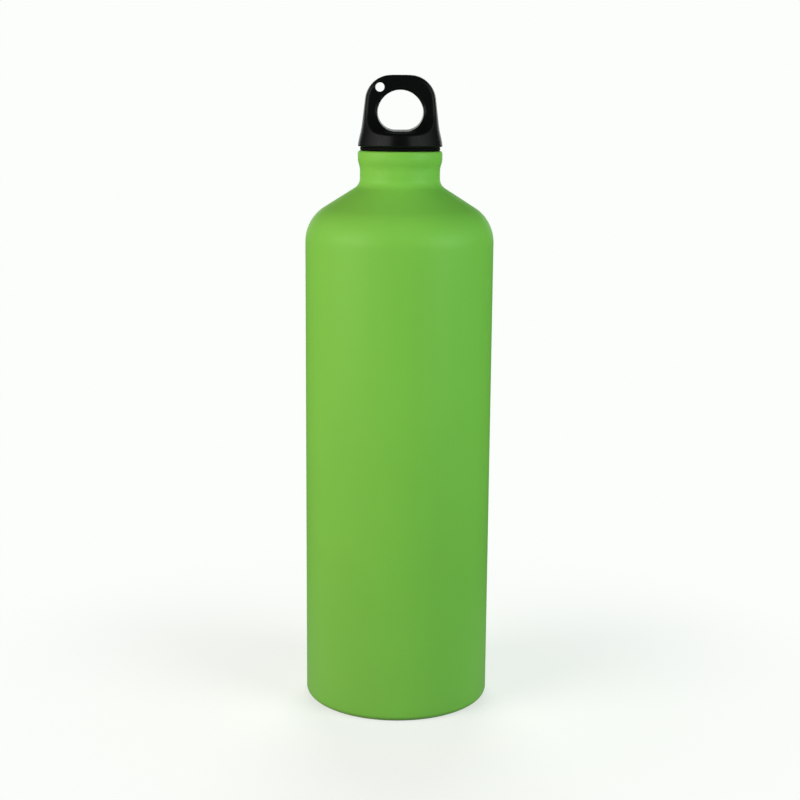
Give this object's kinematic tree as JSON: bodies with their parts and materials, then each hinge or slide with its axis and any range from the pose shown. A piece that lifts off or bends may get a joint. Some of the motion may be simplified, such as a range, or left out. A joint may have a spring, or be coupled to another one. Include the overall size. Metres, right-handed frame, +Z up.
{
  "type": "aluminium drinking bottle",
  "caption": "Cylindrical aluminium drinking bottle with a sloped shoulder, beaded neck and recessed base, closed by a gasket and a screw-in stopper under a moulded carrying loop.",
  "frame": {"origin": "centre of the base, on the bottle's axis, at the level that it stands on", "axes": "+Z up along the bottle's axis, +Y to the back, +X to the right seen from the front, with the loop's broad faces to -Y and +Y"},
  "size_m": [0.073, 0.073, 0.2465],
  "materials": {
    "painted_aluminium": "satin",
    "bare_aluminium": "satin",
    "silicone": "matte",
    "stopper_plastic": "satin",
    "cap_plastic": "satin"
  },
  "bodies": {
    "bottle": {"bottle_shell": "painted_aluminium", "thread_ring": "bare_aluminium"},
    "seal": {"gasket": "silicone"},
    "cap": {"stopper": "stopper_plastic", "loop_cap": "cap_plastic"}
  },
  "joints": [
    {"name": "cap_lift", "type": "slide", "parent": "bottle", "child": "seal", "axis": [0, 0, 1], "range_m": [0, 0.014]},
    {"name": "cap_turn", "type": "hinge", "parent": "seal", "child": "cap", "pos_m": [0, 0, 0.218], "axis": [0, 0, 1], "range_deg": [0, 1260]}
  ],
  "couplings": [
    {"joint": "cap_lift", "follows": "cap_turn", "m_per_rad": 0.0006366}
  ]
}
